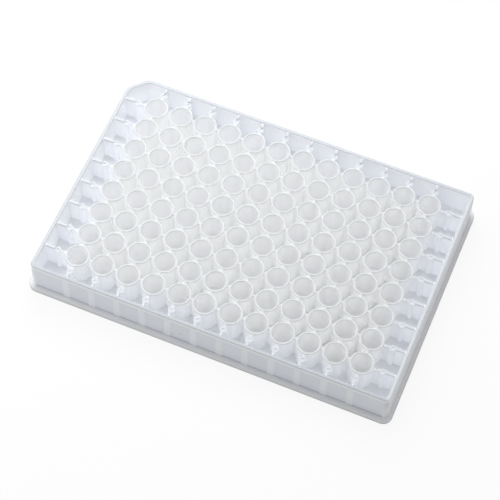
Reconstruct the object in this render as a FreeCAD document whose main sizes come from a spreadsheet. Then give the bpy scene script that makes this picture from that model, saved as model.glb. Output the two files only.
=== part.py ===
"""A 96-well plate with round-bottomed wells, moulded in one piece.

Frame: millimetres, +Z up, +X along the twelve columns, +Y along the eight rows towards row A.
The origin is the middle of the underside, on the surface that the plate stands on.
"""

import FreeCAD
import Part
import Sketcher
import math
import os

NODE = "well_plate"

SIZES = {
    # the footprint and the flange around it
    "plate_length": 127.76,
    "plate_width": 85.48,
    "plate_height": 14.2,
    "flange_height": 2.41,
    "flange_corner": 3.18,
    "flange_ledge": 1.3,
    "ledge_thickness": 1.2,
    "skirt_thickness": 1.3,
    # the wall that frames the wells
    "wall_thickness": 1.3,
    "wall_corner": 2.0,
    "wall_draft": 1.0,
    "notch_side": 5.9,
    "notch_blend": 5.0,
    "court_corner": 1.0,
    "edge_round": 0.35,
    # the floor that the wells stand on
    "floor_top": 3.6,
    "floor_thickness": 1.1,
    # the wells
    "pitch": 9.0,
    "columns": 12,
    "rows": 8,
    "well_drop": 0.2,
    "well_mouth": 3.45,
    "well_depth": 11.2,
    "well_bottom_radius": 3.2,
    "well_bottom_thickness": 0.8,
    "tube_radius": 4.05,
    "lip_chamfer": 0.15,
    # the ribs that join the wells to each other and to the wall
    "rib_thickness": 0.8,
    "rib_drop": 0.4,
    # the small dimpled posts on the ribs outside the wells
    "post_diameter": 2.4,
    "post_drop": 1.0,
    "post_reach_ends": 7.1,
    "post_reach_sides": 5.9,
    "post_shoulder": 0.2,
    "dimple_diameter": 1.0,
    "dimple_depth": 0.7,
}

RIM_TOP = "Sizes.plate_height"
WELL_TOP = "(Sizes.plate_height - Sizes.well_drop)"
RIB_TOP = "(Sizes.plate_height - Sizes.rib_drop)"
POST_TOP = "(Sizes.plate_height - Sizes.post_drop)"
FLOOR_TOP = "Sizes.floor_top"
FLOOR_UNDERSIDE = "(Sizes.floor_top - Sizes.floor_thickness)"
FLOOR_MIDDLE = "(Sizes.floor_top - Sizes.floor_thickness / 2)"
FOOT_LENGTH = "(Sizes.plate_length - 2 * Sizes.flange_ledge)"
FOOT_WIDTH = "(Sizes.plate_width - 2 * Sizes.flange_ledge)"
COURT_INSET = "(Sizes.wall_thickness + Sizes.plate_height * tan(Sizes.wall_draft))"
COURT_LENGTH = "(%s - 2 * %s)" % (FOOT_LENGTH, COURT_INSET)
COURT_WIDTH = "(%s - 2 * %s)" % (FOOT_WIDTH, COURT_INSET)
COURT_NOTCH = "(Sizes.notch_side - (2 - sqrt(2)) * %s)" % COURT_INSET
COURT_BLEND = "(Sizes.notch_blend - %s)" % COURT_INSET
HOLLOW_LENGTH = "(%s - 2 * Sizes.wall_thickness)" % FOOT_LENGTH
HOLLOW_WIDTH = "(%s - 2 * Sizes.wall_thickness)" % FOOT_WIDTH
HOLLOW_NOTCH = "(Sizes.notch_side - (2 - sqrt(2)) * Sizes.wall_thickness)"
HOLLOW_BLEND = "(Sizes.notch_blend - Sizes.wall_thickness)"
BOWL_CENTRE = "(%s - Sizes.well_depth + Sizes.well_bottom_radius)" % WELL_TOP
DOME_RADIUS = "(Sizes.well_bottom_radius + Sizes.well_bottom_thickness)"
TUBE_SHELF = "max(%s; %s - 0.9 * %s)" % (FLOOR_MIDDLE, BOWL_CENTRE, DOME_RADIUS)
FIRST_X = "(-Sizes.pitch * (Sizes.columns - 1) / 2)"
FIRST_Y = "(-Sizes.pitch * (Sizes.rows - 1) / 2)"
EVERY_COLUMN = ("Sizes.pitch", "Sizes.columns")
EVERY_ROW = ("Sizes.pitch", "Sizes.rows")

TINY = 1e-4

doc = FreeCAD.newDocument("WellPlate")


def make_sheet():
    """The spreadsheet of driving sizes: names in column A, plain numbers in column B."""
    made = doc.addObject("Spreadsheet::Sheet", "Sizes")
    for row, (name, value) in enumerate(SIZES.items(), start=1):
        made.set("A%d" % row, name)
        made.set("B%d" % row, str(value))
        made.setAlias("B%d" % row, name)
    doc.recompute()
    return made


sheet = make_sheet()
body = doc.addObject("PartDesign::Body", "Plate")
body.Label = NODE
body.Placement = FreeCAD.Placement()


def number(expression):
    """The present value of an expression on the sheet."""
    return float(sheet.evalExpression(expression))


def origin_feature(role):
    return next(item for item in body.Origin.OriginFeatures if item.Role == role)


def new_sketch(name, plane="XY_Plane", x="0", y="0", z="0"):
    """A sketch on a plane of the body's origin, moved by expressions along the sketch's own axes."""
    sketch = body.newObject("Sketcher::SketchObject", name)
    sketch.AttachmentSupport = [(origin_feature(plane), "")]
    sketch.MapMode = "FlatFace"
    for axis, expression in (("x", x), ("y", y), ("z", z)):
        sketch.setExpression("AttachmentOffset.Base." + axis, expression)
    return sketch


# Drawing in a sketch. Point 1 of an element is its start, 2 its end and 3 its centre.
# Element -1 is the sketch's X axis, whose point 1 is the origin, and element -2 its Y axis.


def relate(sketch, *constraint):
    sketch.addConstraint(Sketcher.Constraint(*constraint))


def bind(sketch, name, expression, *constraint):
    """Adds a constraint whose value is the expression, under a name of its own."""
    index = sketch.addConstraint(Sketcher.Constraint(*constraint, number(expression)))
    sketch.renameConstraint(index, name)
    sketch.setExpression("Constraints." + name, expression)


def add_line(sketch, start, end):
    start = FreeCAD.Vector(start[0], start[1], 0)
    end = FreeCAD.Vector(end[0], end[1], 0)
    return sketch.addGeometry(Part.LineSegment(start, end))


def add_arc(sketch, centre, radius, start_angle, end_angle):
    """An arc drawn anticlockwise between two angles in degrees."""
    circle = Part.Circle(FreeCAD.Vector(centre[0], centre[1], 0), FreeCAD.Vector(0, 0, 1), radius)
    arc = Part.ArcOfCircle(circle, math.radians(start_angle), math.radians(end_angle))
    return sketch.addGeometry(arc)


def draw_rounded_outline(sketch, corners, radii):
    """An anticlockwise outline with rounded corners; gives each straight side, from its corner on."""
    count = len(corners)
    points = [FreeCAD.Vector(x, y, 0) for x, y in corners]
    headings = []
    for index in range(count):
        ahead = points[(index + 1) % count] - points[index]
        headings.append(math.degrees(math.atan2(ahead.y, ahead.x)))
    turns = [(headings[index] - headings[index - 1]) % 360 for index in range(count)]
    setbacks = []
    for index in range(count):
        setbacks.append(number(radii[index]) * math.tan(math.radians(turns[index] / 2)))
    sides = []
    for index in range(count):
        following = (index + 1) % count
        along = (points[following] - points[index]).normalize()
        start = points[index] + along * setbacks[index]
        end = points[following] - along * setbacks[following]
        sides.append(add_line(sketch, start, end))
    for index in range(count):
        radius = number(radii[index])
        start_angle = headings[index - 1] - 90
        before = (points[index] - points[index - 1]).normalize()
        inwards = FreeCAD.Vector(-before.y, before.x, 0)
        centre = points[index] - before * setbacks[index] + inwards * radius
        arc = add_arc(sketch, centre, radius, start_angle, start_angle + turns[index])
        relate(sketch, "Tangent", sides[index - 1], 2, arc, 1)
        relate(sketch, "Tangent", arc, 2, sides[index], 1)
        bind(sketch, "radius_%d" % index, radii[index], "Radius", arc)
    return sides


def place_sides(sketch, length, width, front, right, back, left):
    """Sets the four sides square and at half the length and width from the sketch's origin."""
    relate(sketch, "Horizontal", front)
    relate(sketch, "Vertical", right)
    relate(sketch, "Horizontal", back)
    relate(sketch, "Vertical", left)
    bind(sketch, "front_place", width + " / 2", "DistanceY", front, 1, -1, 1)
    bind(sketch, "right_place", length + " / 2", "DistanceX", -1, 1, right, 1)
    bind(sketch, "back_place", width + " / 2", "DistanceY", -1, 1, back, 1)
    bind(sketch, "left_place", length + " / 2", "DistanceX", left, 1, -1, 1)


def draw_rounded_rectangle(sketch, length, width, radius):
    """A rectangle about the sketch's origin with four equal corners."""
    half_x = number(length) / 2
    half_y = number(width) / 2
    corners = [(-half_x, -half_y), (half_x, -half_y), (half_x, half_y), (-half_x, half_y)]
    sides = draw_rounded_outline(sketch, corners, [radius] * 4)
    place_sides(sketch, length, width, *sides)


def draw_notched_rectangle(sketch, length, width, radius, notch, blend):
    """The same with the corner beside well A1 cut off at 45 degrees and blended."""
    half_x = number(length) / 2
    half_y = number(width) / 2
    cut = number(notch)
    corners = [(-half_x, -half_y), (half_x, -half_y), (half_x, half_y)]
    corners += [(cut - half_x, half_y), (-half_x, half_y - cut)]
    radii = [radius] * 3 + [blend] * 2
    front, right, back, slant, left = draw_rounded_outline(sketch, corners, radii)
    place_sides(sketch, length, width, front, right, back, left)
    relate(sketch, "Angle", slant, math.radians(-135))
    away = "(%s / 2 + %s / 2 - %s) / sqrt(2)" % (length, width, notch)
    bind(sketch, "notch_place", away, "Distance", -1, 1, slant)


def draw_rectangle(sketch, length, width):
    """A sharp rectangle about the sketch's origin."""
    half_x = number(length) / 2
    half_y = number(width) / 2
    front = add_line(sketch, (-half_x, -half_y), (half_x, -half_y))
    right = add_line(sketch, (half_x, -half_y), (half_x, half_y))
    back = add_line(sketch, (half_x, half_y), (-half_x, half_y))
    left = add_line(sketch, (-half_x, half_y), (-half_x, -half_y))
    for first, second in ((front, right), (right, back), (back, left), (left, front)):
        relate(sketch, "Coincident", first, 2, second, 1)
    place_sides(sketch, length, width, front, right, back, left)


def draw_circle(sketch, diameter):
    """A circle about the sketch's origin."""
    circle = Part.Circle(FreeCAD.Vector(0, 0, 0), FreeCAD.Vector(0, 0, 1), number(diameter) / 2)
    index = sketch.addGeometry(circle)
    relate(sketch, "Coincident", index, 3, -1, 1)
    bind(sketch, "diameter", diameter, "Diameter", index)


def draw_cell(sketch):
    """The space between four wells: arcs round their tubes, joined by the faces of four ribs."""
    half_pitch = number("Sizes.pitch") / 2
    radius = number("Sizes.tube_radius")
    swing = math.degrees(math.asin(number("Sizes.rib_thickness") / 2 / radius))
    arcs = []
    for quarter in range(4):
        turn = FreeCAD.Rotation(FreeCAD.Vector(0, 0, 1), 90 * quarter)
        centre = turn.multVec(FreeCAD.Vector(half_pitch, half_pitch, 0))
        start_angle = 90 * quarter + 180 + swing
        end_angle = 90 * quarter + 270 - swing
        arcs.append(add_arc(sketch, centre, radius, start_angle, end_angle))
    faces = []
    for quarter, arc in enumerate(arcs):
        before = arcs[(quarter + 1) % 4]
        face = add_line(sketch, sketch.Geometry[before].EndPoint, sketch.Geometry[arc].StartPoint)
        relate(sketch, "Coincident", before, 2, face, 1)
        relate(sketch, "Coincident", face, 2, arc, 1)
        faces.append(face)
    for arc in arcs[1:]:
        relate(sketch, "Equal", arcs[0], arc)
    relate(sketch, "Symmetric", arcs[0], 3, arcs[1], 3, -2)
    relate(sketch, "Symmetric", arcs[0], 3, arcs[2], 3, -1, 1)
    relate(sketch, "Symmetric", arcs[0], 3, arcs[3], 3, -1)
    bind(sketch, "tube_radius", "Sizes.tube_radius", "Radius", arcs[0])
    bind(sketch, "well_x", "Sizes.pitch / 2", "DistanceX", -1, 1, arcs[0], 3)
    bind(sketch, "well_y", "Sizes.pitch / 2", "DistanceY", -1, 1, arcs[0], 3)
    span = "(Sizes.pitch - Sizes.rib_thickness)"
    back, left, front, right = faces
    place_sides(sketch, span, span, front, right, back, left)


# Features on sketches


def add_feature(kind, name, sketch, upwards=False, **sizes):
    """A feature on a sketch, with its sizes bound to expressions and its change of volume checked."""
    volume_before = 0.0 if body.Shape.isNull() else body.Shape.Volume
    feature = body.newObject("PartDesign::" + kind, name)
    feature.Profile = sketch
    feature.Refine = False
    for size, expression in sizes.items():
        feature.setExpression(size, expression)
    if kind in ("Revolution", "Groove"):
        feature.ReferenceAxis = (sketch, ["V_Axis"])
    if kind == "Pocket":
        feature.Reversed = upwards
    doc.recompute()
    change = feature.Shape.Volume - volume_before
    if (change > 0) != (kind in ("Pad", "Revolution")):
        raise RuntimeError("%s changes the volume by %.1f mm3" % (name, change))
    return feature


def repeat(name, feature, along_x, along_y):
    """A grid of copies: the spacing and the number along +X, then along +Y."""
    pattern = body.newObject("PartDesign::LinearPattern", name)
    pattern.Originals = [feature]
    pattern.Refine = False
    pattern.Direction = (origin_feature("X_Axis"), [""])
    pattern.Mode = "Spacing"
    pattern.setExpression("Offset", along_x[0])
    pattern.setExpression("Occurrences", along_x[1])
    pattern.Direction2 = (origin_feature("Y_Axis"), [""])
    pattern.Mode2 = "Spacing"
    # a spacing of -1 takes the common offset; without it the first step along +Y would be 0
    pattern.Spacings2 = [-1.0]
    pattern.setExpression("Offset2", along_y[0])
    pattern.setExpression("Occurrences2", along_y[1])
    body.Tip = pattern
    doc.recompute()


def round_edges(name, radius, chosen):
    """Rounds the edges of the present shape that the test chooses."""
    base = body.Tip
    names = ["Edge%d" % count for count, edge in enumerate(base.Shape.Edges, start=1) if chosen(edge)]
    fillet = body.newObject("PartDesign::Fillet", name)
    fillet.Base = (base, names)
    fillet.Refine = False
    fillet.setExpression("Radius", radius)
    doc.recompute()


# The pieces of the moulding


def build_shell():
    """The flange, the frame wall with its notch, the floor and the hollow under them."""
    flange = new_sketch("FlangeOutline")
    draw_rounded_rectangle(flange, "Sizes.plate_length", "Sizes.plate_width", "Sizes.flange_corner")
    add_feature("Pad", "Flange", flange, Length="Sizes.flange_height")

    wall = new_sketch("WallOutline")
    draw_notched_rectangle(
        wall, FOOT_LENGTH, FOOT_WIDTH, "Sizes.wall_corner", "Sizes.notch_side", "Sizes.notch_blend",
    )
    add_feature("Pad", "Wall", wall, Length=RIM_TOP)
    lean_wall()

    court = new_sketch("CourtOutline", z=RIM_TOP)
    draw_notched_rectangle(
        court, COURT_LENGTH, COURT_WIDTH, "Sizes.court_corner", COURT_NOTCH, COURT_BLEND,
    )
    add_feature("Pocket", "Court", court, Length=RIM_TOP + " - " + FLOOR_TOP)

    skirt = new_sketch("SkirtOutline")
    draw_rounded_rectangle(
        skirt,
        "(Sizes.plate_length - 2 * Sizes.skirt_thickness)",
        "(Sizes.plate_width - 2 * Sizes.skirt_thickness)",
        "(Sizes.flange_corner - Sizes.skirt_thickness)",
    )
    skirt_depth = "Sizes.flange_height - Sizes.ledge_thickness"
    add_feature("Pocket", "SkirtHollow", skirt, upwards=True, Length=skirt_depth)

    hollow = new_sketch("HollowOutline")
    draw_notched_rectangle(
        hollow, HOLLOW_LENGTH, HOLLOW_WIDTH, "Sizes.court_corner", HOLLOW_NOTCH, HOLLOW_BLEND,
    )
    add_feature("Pocket", "FloorHollow", hollow, upwards=True, Length=FLOOR_UNDERSIDE)


def lean_wall():
    """Leans the outside of the wall inwards from the foot to the rim."""
    rim = number(RIM_TOP)
    base = body.Tip
    names = []
    for count, face in enumerate(base.Shape.Faces, start=1):
        box = face.BoundBox
        if abs(box.ZMax - rim) < TINY and box.ZLength > TINY:
            names.append("Face%d" % count)
    draft = body.newObject("PartDesign::Draft", "WallLean")
    draft.Base = (base, names)
    draft.NeutralPlane = (origin_feature("XY_Plane"), [""])
    draft.Refine = False
    draft.setExpression("Angle", "Sizes.wall_draft")
    doc.recompute()
    if draft.Shape.Volume > base.Shape.Volume:
        raise RuntimeError("the wall leans outwards")


def round_shell():
    """Soft edges along the rim, the ledge and the foot."""
    rim = number(RIM_TOP)
    ledge = number("Sizes.flange_height")
    inside_x = number("Sizes.plate_length / 2 - Sizes.flange_ledge / 2")
    inside_y = number("Sizes.plate_width / 2 - Sizes.flange_ledge / 2")

    def on_rim(edge):
        return edge.BoundBox.ZMin > rim - TINY

    def around_flange(edge):
        box = edge.BoundBox
        level = box.ZLength < TINY and (abs(box.ZMax - ledge) < TINY or abs(box.ZMax) < TINY)
        middle = edge.CenterOfMass
        return level and (abs(middle.x) > inside_x or abs(middle.y) > inside_y)

    round_edges("RimRound", "Sizes.edge_round", on_rim)
    round_edges("FlangeRound", "Sizes.edge_round", around_flange)


def add_outside(side, name, kind, reach, z, draw, depth):
    """A pad or pocket at a reach outside every outer well, on both ends or on both sides."""
    x = FIRST_X
    y = FIRST_Y
    along_x = EVERY_COLUMN
    along_y = EVERY_ROW
    if side == "End":
        x = "(%s - %s)" % (FIRST_X, reach)
        along_x = ("-2 * " + x, "2")
    else:
        y = "(%s - %s)" % (FIRST_Y, reach)
        along_y = ("-2 * " + y, "2")
    sketch = new_sketch(side + name + "Outline", x=x, y=y, z=z)
    draw(sketch)
    first = add_feature(kind, "First" + side + name, sketch, Length=depth)
    repeat(side + name + "s", first, along_x, along_y)


def build_outer_ribs(side, post_reach, wall_reach):
    """From each outer well a low saddle runs to a dimpled post, and a high rib from there to the wall."""
    rib_start = "(%s + Sizes.post_diameter / 2 - Sizes.post_shoulder)" % post_reach
    rib_length = "(%s - %s)" % (wall_reach, rib_start)
    rib_middle = "(%s + %s / 2)" % (rib_start, rib_length)
    saddle_middle = "(%s / 2)" % post_reach
    post_height = POST_TOP + " - " + FLOOR_TOP
    rib_height = RIB_TOP + " - " + FLOOR_TOP

    def draw_bar(sketch, length):
        if side == "End":
            draw_rectangle(sketch, length, "Sizes.rib_thickness")
        else:
            draw_rectangle(sketch, "Sizes.rib_thickness", length)

    def draw_saddle(sketch):
        draw_bar(sketch, post_reach)

    def draw_rib(sketch):
        draw_bar(sketch, rib_length)

    def draw_post(sketch):
        draw_circle(sketch, "Sizes.post_diameter")

    def draw_dimple(sketch):
        draw_circle(sketch, "Sizes.dimple_diameter")

    add_outside(side, "Saddle", "Pad", saddle_middle, FLOOR_TOP, draw_saddle, post_height)
    add_outside(side, "Rib", "Pad", rib_middle, FLOOR_TOP, draw_rib, rib_height)
    add_outside(side, "Post", "Pad", post_reach, FLOOR_TOP, draw_post, post_height)
    add_outside(side, "Dimple", "Pocket", post_reach, POST_TOP, draw_dimple, "Sizes.dimple_depth")


def build_core():
    """The block that the wells and the spaces between them are sunk into."""
    core = new_sketch("CoreOutline", z=FLOOR_TOP)
    draw_rectangle(
        core,
        "(Sizes.pitch * (Sizes.columns - 1) + Sizes.rib_thickness)",
        "(Sizes.pitch * (Sizes.rows - 1) + Sizes.rib_thickness)",
    )
    add_feature("Pad", "Core", core, Length=RIB_TOP + " - " + FLOOR_TOP)


def build_tubes():
    """The outside of every well: a tube on the floor, with its round bottom showing below.

    A well too shallow to reach the floor has its round bottom above it.
    """
    tube = new_sketch("TubeProfile", plane="XZ_Plane", x=FIRST_X, z="-" + FIRST_Y)
    top = number(WELL_TOP)
    lip = number("Sizes.lip_chamfer")
    radius = number("Sizes.tube_radius")
    bottom = number(DOME_RADIUS)
    centre = number(BOWL_CENTRE)
    shelf_height = number(TUBE_SHELF)
    side = math.degrees(math.asin((shelf_height - centre) / bottom))
    dome = add_arc(tube, (0, centre), bottom, -90, side)
    shelf = add_line(tube, tube.Geometry[dome].EndPoint, (radius, shelf_height))
    flank = add_line(tube, (radius, shelf_height), (radius, top - lip))
    chamfer = add_line(tube, (radius, top - lip), (radius - lip, top))
    crown = add_line(tube, (radius - lip, top), (0, top))
    axis = add_line(tube, (0, top), (0, centre - bottom))
    relate(tube, "PointOnObject", dome, 3, -2)
    relate(tube, "PointOnObject", dome, 1, -2)
    relate(tube, "Coincident", dome, 2, shelf, 1)
    relate(tube, "Horizontal", shelf)
    relate(tube, "Coincident", shelf, 2, flank, 1)
    relate(tube, "Vertical", flank)
    relate(tube, "Coincident", flank, 2, chamfer, 1)
    relate(tube, "Coincident", chamfer, 2, crown, 1)
    relate(tube, "Horizontal", crown)
    relate(tube, "Coincident", crown, 2, axis, 1)
    relate(tube, "Vertical", axis)
    relate(tube, "Coincident", axis, 2, dome, 1)
    bind(tube, "dome_radius", DOME_RADIUS, "Radius", dome)
    bind(tube, "dome_centre", BOWL_CENTRE, "DistanceY", -1, 1, dome, 3)
    bind(tube, "shelf_height", TUBE_SHELF, "DistanceY", -1, 1, shelf, 1)
    bind(tube, "tube_radius", "Sizes.tube_radius", "DistanceX", -1, 1, shelf, 2)
    bind(tube, "lip_run", "Sizes.lip_chamfer", "DistanceX", chamfer, 2, chamfer, 1)
    bind(tube, "lip_rise", "Sizes.lip_chamfer", "DistanceY", chamfer, 1, chamfer, 2)
    bind(tube, "top", WELL_TOP, "DistanceY", -1, 1, crown, 2)
    first = add_feature("Revolution", "FirstTube", tube)
    repeat("Tubes", first, EVERY_COLUMN, EVERY_ROW)


def cut_wells():
    """The inside of every well: a tapered bore with a hemispherical bottom and a chamfered lip."""
    well = new_sketch("WellProfile", plane="XZ_Plane", x=FIRST_X, z="-" + FIRST_Y)
    top = number(WELL_TOP)
    above = number(RIM_TOP)
    lip = number("Sizes.lip_chamfer")
    mouth = number("Sizes.well_mouth")
    bottom = number("Sizes.well_bottom_radius")
    centre = number(BOWL_CENTRE)
    bowl = add_arc(well, (0, centre), bottom, -90, 0)
    flank = add_line(well, (bottom, centre), (mouth, top - lip))
    chamfer = add_line(well, (mouth, top - lip), (mouth + lip, top))
    rise = add_line(well, (mouth + lip, top), (mouth + lip, above))
    crown = add_line(well, (mouth + lip, above), (0, above))
    axis = add_line(well, (0, above), (0, centre - bottom))
    relate(well, "PointOnObject", bowl, 3, -2)
    relate(well, "PointOnObject", bowl, 1, -2)
    relate(well, "Tangent", bowl, 2, flank, 1)
    relate(well, "Coincident", flank, 2, chamfer, 1)
    relate(well, "Coincident", chamfer, 2, rise, 1)
    relate(well, "Vertical", rise)
    relate(well, "Coincident", rise, 2, crown, 1)
    relate(well, "Horizontal", crown)
    relate(well, "Coincident", crown, 2, axis, 1)
    relate(well, "Vertical", axis)
    relate(well, "Coincident", axis, 2, bowl, 1)
    bind(well, "bowl_radius", "Sizes.well_bottom_radius", "Radius", bowl)
    bind(well, "bowl_centre", BOWL_CENTRE, "DistanceY", -1, 1, bowl, 3)
    bind(well, "mouth_radius", "Sizes.well_mouth", "DistanceX", -1, 1, chamfer, 1)
    bind(well, "lip_run", "Sizes.lip_chamfer", "DistanceX", chamfer, 1, chamfer, 2)
    bind(well, "lip_rise", "Sizes.lip_chamfer", "DistanceY", chamfer, 1, chamfer, 2)
    bind(well, "lip_height", WELL_TOP, "DistanceY", -1, 1, chamfer, 2)
    bind(well, "clear_height", RIM_TOP, "DistanceY", -1, 1, rise, 2)
    first = add_feature("Groove", "FirstWell", well)
    repeat("Wells", first, EVERY_COLUMN, EVERY_ROW)


def cut_cells():
    """The open spaces between the wells, which leave a tube round each well and ribs between them."""
    half_pitch = " + Sizes.pitch / 2"
    cell = new_sketch("CellOutline", x=FIRST_X + half_pitch, y=FIRST_Y + half_pitch, z=RIB_TOP)
    draw_cell(cell)
    first = add_feature("Pocket", "FirstCell", cell, Length=RIB_TOP + " - " + FLOOR_TOP)
    between_columns = ("Sizes.pitch", "Sizes.columns - 1")
    between_rows = ("Sizes.pitch", "Sizes.rows - 1")
    repeat("Cells", first, between_columns, between_rows)


def check_plate():
    """Stops before anything is written where a feature failed or the plate isn't one sound solid."""
    doc.recompute()
    for item in doc.Objects:
        if "Invalid" in item.State or "Error" in item.State:
            raise RuntimeError("%s didn't compute" % item.Name)
    if body.Shape.isNull() or not body.Shape.isValid():
        raise RuntimeError("the plate has no sound shape")
    if len(body.Shape.Solids) != 1:
        raise RuntimeError("the plate is in %d pieces" % len(body.Shape.Solids))


build_shell()
round_shell()
build_outer_ribs(
    "End", "Sizes.post_reach_ends", "((%s + Sizes.wall_thickness) / 2 + %s)" % (COURT_LENGTH, FIRST_X),
)
build_outer_ribs(
    "Side", "Sizes.post_reach_sides", "((%s + Sizes.wall_thickness) / 2 + %s)" % (COURT_WIDTH, FIRST_Y),
)
build_core()
build_tubes()
cut_wells()
cut_cells()
check_plate()

os.makedirs("parts", exist_ok=True)
body.Shape.exportStep("parts/%s.step" % NODE)
print("%s: %.1f mm3, %d faces" % (NODE, body.Shape.Volume, len(body.Shape.Faces)))
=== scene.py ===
"""The looks of a translucent 96-well plate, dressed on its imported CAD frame. Metres, +Z up."""

import math

import bpy
from mathutils import Matrix, Vector

MM = 0.001

# The plate's own measures, from the middle of its underside. The block of wells and the
# wall round it are given by half their length and half their width, and the wall by its foot.
PITCH = 9.0 * MM
WELL_MOUTH = 3.45 * MM
WELL_TOP = 14.0 * MM
POST_TOP = 13.2 * MM
BLOCK_X = 53.6 * MM
BLOCK_Y = 35.6 * MM
WALL_X = 62.58 * MM
WALL_Y = 41.44 * MM
NOTCH = 69.38 * MM
FLANGE = 2.41 * MM
RIM = 14.2 * MM

# how deep behind the line of its foot the leaning wall's outer and inner faces lie at most
OUTER_FACE = 0.7 * MM
INNER_FACE = 1.7 * MM

# The plastic's tints: its own milky, bluish tone, with painted light and shade laid on it.
# The bores, lips, post tops, rim, flange and the walls' heads and feet are painted darker,
# the hem carries a painted contact shadow, and the walls paler bands of painted light.
BLOCK_TINT = (0.999, 1.0, 1.0, 1)
BAY_TINT = (0.952, 0.960, 0.984, 1)
BORE_FOOT_SHADE = (0.942, 0.937, 0.943, 1)
BORE_MOUTH_SHADE = (0.962, 0.968, 0.973, 1)
LIP_SHADE = (0.73, 0.745, 0.76, 1)
POST_TOP_SHADE = (0.66, 0.68, 0.72, 1)
LONG_WALL_TONE_AND_SHADE = (0.82, 0.85, 0.91, 1)
END_WALL_FOOT_LIGHT = (0.98, 0.985, 0.99, 1)
END_WALL_HEAD_SHADE = (0.75, 0.775, 0.83, 1)
UNDER_RIM_LIGHT = (0.97, 0.985, 1.0, 1)
WALL_FOOT_SHADE = (0.58, 0.61, 0.67, 1)
FLANGE_SHADE = (0.81, 0.82, 0.84, 1)
FLANGE_END_SHADE = (0.65, 0.66, 0.68, 1)
HEM_SHADOW = (0.52, 0.53, 0.55, 1)
RIB_LIGHT = (0.93, 0.96, 1.0, 1)
RIM_SHADE = (0.59, 0.615, 0.66, 1)
FRONT_RIM_SHADE = (0.525, 0.55, 0.59, 1)
RIGHT_RIM_SHADE = (0.66, 0.69, 0.73, 1)

# The share of the light that wanders through the plastic before it comes out again. It is
# less on the skin, which is what the walls, the lips, the posts and the rim show.
BODY_SCATTER = 0.8
SKIN_SCATTER = 0.2


# Shader nodes


class Value:
    """A socket that takes part in Python expressions, each of which adds its Math node."""

    def __init__(self, tree, socket):
        self.tree = tree
        self.socket = socket

    def _math(self, operation, *values):
        node = self.tree.nodes.new("ShaderNodeMath")
        node.operation = operation
        for socket, value in zip(node.inputs, values):
            if isinstance(value, Value):
                self.tree.links.new(value.socket, socket)
            else:
                socket.default_value = value
        return Value(self.tree, node.outputs[0])

    def __add__(self, other):
        return self._math("ADD", self, other)

    __radd__ = __add__

    def __sub__(self, other):
        return self._math("SUBTRACT", self, other)

    def __rsub__(self, other):
        return self._math("SUBTRACT", other, self)

    def __mul__(self, other):
        return self._math("MULTIPLY", self, other)

    __rmul__ = __mul__

    def __truediv__(self, other):
        return self._math("DIVIDE", self, other)

    def __abs__(self):
        return self._math("ABSOLUTE", self)

    def wrapped(self):
        """The distance from the nearest whole number and a half, from -0.5 to 0.5."""
        return self._math("FRACT", self) - 0.5

    def root(self):
        return self._math("SQRT", self)

    def larger(self, other):
        return self._math("MAXIMUM", self, other)


class Shading:
    """The node tree of a material or a world under construction."""

    def __init__(self, owner, output_kind):
        owner.use_nodes = True
        self.owner = owner
        self.tree = owner.node_tree
        self.tree.nodes.clear()
        self.output = self.tree.nodes.new(output_kind)

    def node(self, kind, output=0, settings=None, **sockets):
        """Adds a node: its settings first, then the values or links of its sockets by name."""
        made = self.tree.nodes.new(kind)
        for name, value in (settings or {}).items():
            setattr(made, name, value)
        for name, value in sockets.items():
            socket = next(s for s in made.inputs if s.enabled and s.name.replace(" ", "_") == name)
            self.feed(socket, value)
        return Value(self.tree, made.outputs[output])

    def feed(self, socket, value):
        if isinstance(value, Value):
            self.tree.links.new(value.socket, socket)
        else:
            socket.default_value = value

    def finished(self, shader):
        self.feed(self.output.inputs["Surface"], shader)
        return self.owner

    def mix(self, factor, first, second):
        return self.node(
            "ShaderNodeMix", output=2, settings={"data_type": "RGBA"},
            Factor=factor, A=first, B=second,
        )

    def blend(self, factor, first, second):
        made = self.node("ShaderNodeMixShader", Fac=factor)
        for socket, shader in zip(made.socket.node.inputs[1:], (first, second)):
            self.feed(socket, shader)
        return made

    def parts(self, vector):
        return [self.node("ShaderNodeSeparateXYZ", output=axis, Vector=vector) for axis in range(3)]

    def rise(self, value, low, high):
        """A smooth step from 0 at low to 1 at high. Where low is the larger, it falls."""
        if low > high:
            return 1 - self.rise(value, high, low)
        return self.node(
            "ShaderNodeMapRange", settings={"interpolation_type": "SMOOTHSTEP"},
            Value=value, From_Min=low, From_Max=high,
        )

    def noise(self, scale, detail):
        """Noise of a spatial frequency given per metre, read at Object coordinates."""
        where = self.node("ShaderNodeTexCoord", output=3)
        return self.node("ShaderNodeTexNoise", Vector=where, Scale=scale, Detail=detail)

    def backdrop(self, lighting, seen):
        """One value for the rays that light the plate, and one for those that show the backdrop."""
        direct, mirrored, through = [self.node("ShaderNodeLightPath", output=n) for n in (0, 3, 6)]
        return lighting + direct.larger(mirrored).larger(through) * (seen - lighting)


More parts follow.
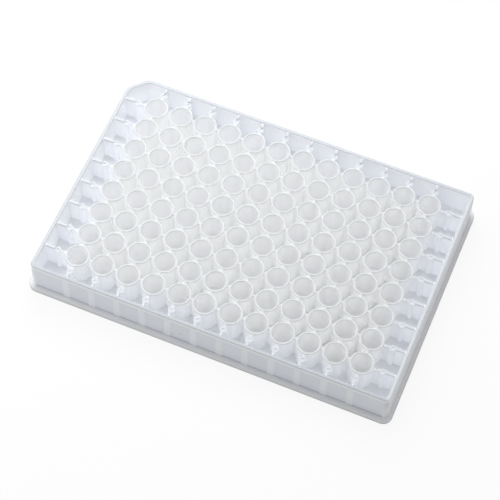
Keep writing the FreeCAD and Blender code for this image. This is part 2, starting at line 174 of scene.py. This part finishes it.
def natural_plastic():
    """Unpigmented polypropylene, milky and satin, with painted light and shade: paler where ribs back
    it up.
    """
    finish = Shading(bpy.data.materials.new("natural_plastic"), "ShaderNodeOutputMaterial")
    x, y, z = finish.parts(finish.node("ShaderNodeTexCoord", output=3))

    # the grid of wells, measured from the axis of the nearest one
    across, along = [abs((place / PITCH).wrapped() * PITCH) for place in (x, y)]
    from_axis = (across * across + along * along).root()
    by_columns = finish.rise(abs(x), BLOCK_X, BLOCK_X - MM)
    by_rows = finish.rise(abs(y), BLOCK_Y, BLOCK_Y - MM)
    in_block = finish.rise(abs(x), BLOCK_X + MM, BLOCK_X) * finish.rise(abs(y), BLOCK_Y + MM, BLOCK_Y)
    in_bore = in_block * finish.rise(from_axis, WELL_MOUTH + 0.2 * MM, WELL_MOUTH)
    # painted shade: the wells' bores are darker than the block, and darker still towards their foot
    up_bore = finish.rise(z, 4.0 * MM, 12.0 * MM)
    # painted shade: the lips of the wells are darker than the block around them
    on_lip = in_block * finish.rise(z, WELL_TOP - 0.6 * MM, WELL_TOP - 0.3 * MM)

    # the wall and the court inside it, measured outwards from the line of the wall's foot
    past_wall = (abs(x) - WALL_X).larger(abs(y) - WALL_Y).larger((y - x) * math.sqrt(0.5) - NOTCH)
    outside = finish.rise(past_wall, -OUTER_FACE - 0.1 * MM, -OUTER_FACE)
    in_court = finish.rise(past_wall, -INNER_FACE, -INNER_FACE - 0.3 * MM)
    # the front and back walls: a bluish tone of the plastic, partly painted shade that darkens them
    on_long_wall = outside * finish.rise(abs(x), WALL_X - 1.3 * MM, WALL_X - 2.3 * MM)
    on_end_wall = outside - on_long_wall
    # painted shade: the end walls darken from their foot up to their head
    up_end_wall = finish.rise(z, 3.0 * MM, 12.0 * MM)
    # painted light: a paler strip on the outer walls just under the rim
    under_rim = outside * finish.rise(z, RIM - 2.2 * MM, RIM - 0.9 * MM)
    # painted shade: a dark line along the foot of the long walls, just above the flange
    at_wall_foot = on_long_wall * finish.rise(z, FLANGE + 1.2 * MM, FLANGE + 0.4 * MM)

    # the rim, painted darker as shade, more so in front and less on the right
    on_rim = (1 - in_court) * finish.rise(z, RIM - 0.4 * MM, RIM - 0.1 * MM)
    on_front = finish.rise(y, 2.0 * MM - WALL_Y, 1.0 * MM - WALL_Y)
    on_right = finish.rise(x, WALL_X - 2.0 * MM, WALL_X - 1.0 * MM)

    # the ribs in line with the wells: their posts, whose tops carry painted shade, and paler bands of
    # painted light on the wall where the ribs stand behind it
    near_column_line = by_columns * finish.rise(across, 1.7 * MM, 1.3 * MM)
    near_row_line = by_rows * finish.rise(along, 1.7 * MM, 1.3 * MM)
    # painted shade: the tops of the posts are darker than the plastic around them
    at_post_top = finish.rise(z, POST_TOP - 0.4 * MM, POST_TOP - 0.1 * MM)
    on_post = in_court * (1 - in_block) * near_column_line.larger(near_row_line) * at_post_top
    # painted light: paler bands on the outer walls in line with the ribs behind them
    behind_long_wall = by_columns * finish.rise(across, 1.5 * MM, 0.6 * MM)
    behind_end_wall = by_rows * finish.rise(along, 1.5 * MM, 0.6 * MM)
    below_rim = finish.rise(z, RIM - 0.9 * MM, RIM - 1.7 * MM)
    above_flange = finish.rise(z, FLANGE + 0.1 * MM, FLANGE + 0.4 * MM)
    rib_light_band = outside * behind_long_wall.larger(0.3 * behind_end_wall) * below_rim * above_flange

    # painted shade: the flange is darker than the wall, and darker still at its ends
    on_flange = finish.rise(z, FLANGE + 0.1 * MM, FLANGE)
    on_flange_end = on_flange * finish.rise(abs(x), WALL_X + 0.9 * MM, WALL_X + 1.25 * MM)
    # painted contact shadow along the bottom edge of the flange
    at_hem = finish.rise(z, 1.3 * MM, 0.5 * MM)

    bore = finish.mix(up_bore, BORE_FOOT_SHADE, BORE_MOUTH_SHADE)
    end_wall = finish.mix(up_end_wall, END_WALL_FOOT_LIGHT, END_WALL_HEAD_SHADE)
    rim = finish.mix(on_right, finish.mix(on_front, RIM_SHADE, FRONT_RIM_SHADE), RIGHT_RIM_SHADE)
    colour = BAY_TINT
    for place, tint in (
        (in_block, BLOCK_TINT),
        (in_bore, bore),
        (on_post, POST_TOP_SHADE),
        (on_lip, LIP_SHADE),
        (on_long_wall, LONG_WALL_TONE_AND_SHADE),
        (on_end_wall, end_wall),
        (under_rim, UNDER_RIM_LIGHT),
        (at_wall_foot, WALL_FOOT_SHADE),
        (on_flange, FLANGE_SHADE),
        (on_flange_end, FLANGE_END_SHADE),
        (at_hem, HEM_SHADOW),
        (rib_light_band, RIB_LIGHT),
        (on_rim, rim),
    ):
        colour = finish.mix(place, colour, tint)

    clouds = finish.noise(scale=60, detail=3)
    grain = finish.noise(scale=1800, detail=2)
    roughness = 0.22 + 0.10 * clouds + 0.04 * grain
    bump = finish.node("ShaderNodeBump", Strength=0.05, Distance=0.02 * MM, Height=grain)
    body, skin = [
        finish.node(
            "ShaderNodeBsdfPrincipled",
            Base_Color=colour, Roughness=roughness, IOR=1.49, Normal=bump,
            Subsurface_Weight=share, Subsurface_Radius=(1.0, 1.0, 1.0), Subsurface_Scale=3.0 * MM,
        )
        for share in (BODY_SCATTER, SKIN_SCATTER)
    ]
    on_skin = outside.larger(on_lip).larger(on_post).larger(on_rim)
    return finish.finished(finish.blend(on_skin, body, skin))


def studio_white():
    """The floor: white where it is seen, with a part of the plate's soft shadow left on it."""
    finish = Shading(bpy.data.materials.new("studio_white"), "ShaderNodeOutputMaterial")
    paper = finish.node("ShaderNodeBsdfDiffuse", Color=(0.95, 0.95, 0.95, 1))
    brightness = finish.backdrop(lighting=0.28, seen=1.0)
    glow = finish.node("ShaderNodeEmission", Color=(1, 1, 1, 1), Strength=brightness)
    return finish.finished(finish.blend(finish.backdrop(lighting=0.5, seen=0.88), paper, glow))


# The studio


def direction(azimuth, elevation):
    """The way from the plate to a place in the studio: azimuth 0 is in front and 90 on the right."""
    turn = math.radians(azimuth)
    lift = math.radians(elevation)
    return Vector((math.sin(turn) * math.cos(lift), -math.cos(turn) * math.cos(lift), math.sin(lift)))


def add_floor(half=1.5):
    corners = [(-half, -half, 0), (half, -half, 0), (half, half, 0), (-half, half, 0)]
    mesh = bpy.data.meshes.new("floor")
    mesh.from_pydata(corners, [], [(0, 1, 2, 3)])
    mesh.materials.append(studio_white())
    floor = bpy.data.objects.new("floor", mesh)
    bpy.context.collection.objects.link(floor)


def add_softbox(name, azimuth, elevation, distance, size, power):
    """A square lamp that faces the plate, slightly blue as daylight is."""
    light = bpy.data.lights.new(name, "AREA")
    light.shape = "SQUARE"
    light.size = size
    light.energy = power
    light.color = (0.97, 0.99, 1.0)
    lamp = bpy.data.objects.new(name, light)
    lamp.visible_camera = False
    bpy.context.collection.objects.link(lamp)
    away = direction(azimuth, elevation)
    lamp.location = away * distance
    lamp.rotation_euler = away.to_track_quat("Z", "Y").to_euler()


def light_room(strength):
    """A white room that lights the plate evenly from all around."""
    room = Shading(bpy.data.worlds.new("room"), "ShaderNodeOutputWorld")
    brightness = room.backdrop(lighting=strength, seen=1.0)
    walls = room.node("ShaderNodeBackground", Color=(1, 1, 1, 1), Strength=brightness)
    bpy.context.scene.world = room.finished(walls)


def add_camera(azimuth, elevation, roll, distance, lens, aim):
    """A camera at a distance from the point it is aimed at, all in metres and degrees."""
    back = direction(azimuth, elevation)
    right = direction(azimuth + 90, 0)
    axes = Matrix((right, back.cross(right), back)).transposed()
    axes = axes @ Matrix.Rotation(math.radians(roll), 3, "Z")
    data = bpy.data.cameras.new("camera")
    data.sensor_width = 36
    data.lens = lens
    camera = bpy.data.objects.new("camera", data)
    bpy.context.collection.objects.link(camera)
    camera.matrix_world = Matrix.Translation(Vector(aim) + back * distance) @ axes.to_4x4()
    bpy.context.scene.camera = camera


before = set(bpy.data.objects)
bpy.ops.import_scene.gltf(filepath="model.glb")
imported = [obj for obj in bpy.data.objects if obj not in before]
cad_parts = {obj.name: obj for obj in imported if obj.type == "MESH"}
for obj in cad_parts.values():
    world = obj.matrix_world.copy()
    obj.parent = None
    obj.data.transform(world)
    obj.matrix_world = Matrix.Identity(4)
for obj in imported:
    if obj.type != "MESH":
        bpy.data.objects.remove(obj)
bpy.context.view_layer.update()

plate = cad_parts["well_plate"]
plate.material_slots[0].material = natural_plastic()

scene = bpy.context.scene
scene.view_settings.view_transform = "Standard"
# light crosses the milky walls of many wells before it leaves the plate
scene.cycles.diffuse_bounces = 32
scene.cycles.max_bounces = 40
add_floor()
light_room(strength=0.48)
add_softbox("key", azimuth=-150, elevation=60, distance=0.28, size=0.25, power=0.58)
add_softbox("fill", azimuth=-60, elevation=30, distance=0.2, size=0.16, power=0.07)
add_camera(
    azimuth=21.08, elevation=60.36, roll=1.74, distance=0.572, lens=125.32,
    aim=(0.64 * MM, -5.88 * MM, 10.75 * MM),
)
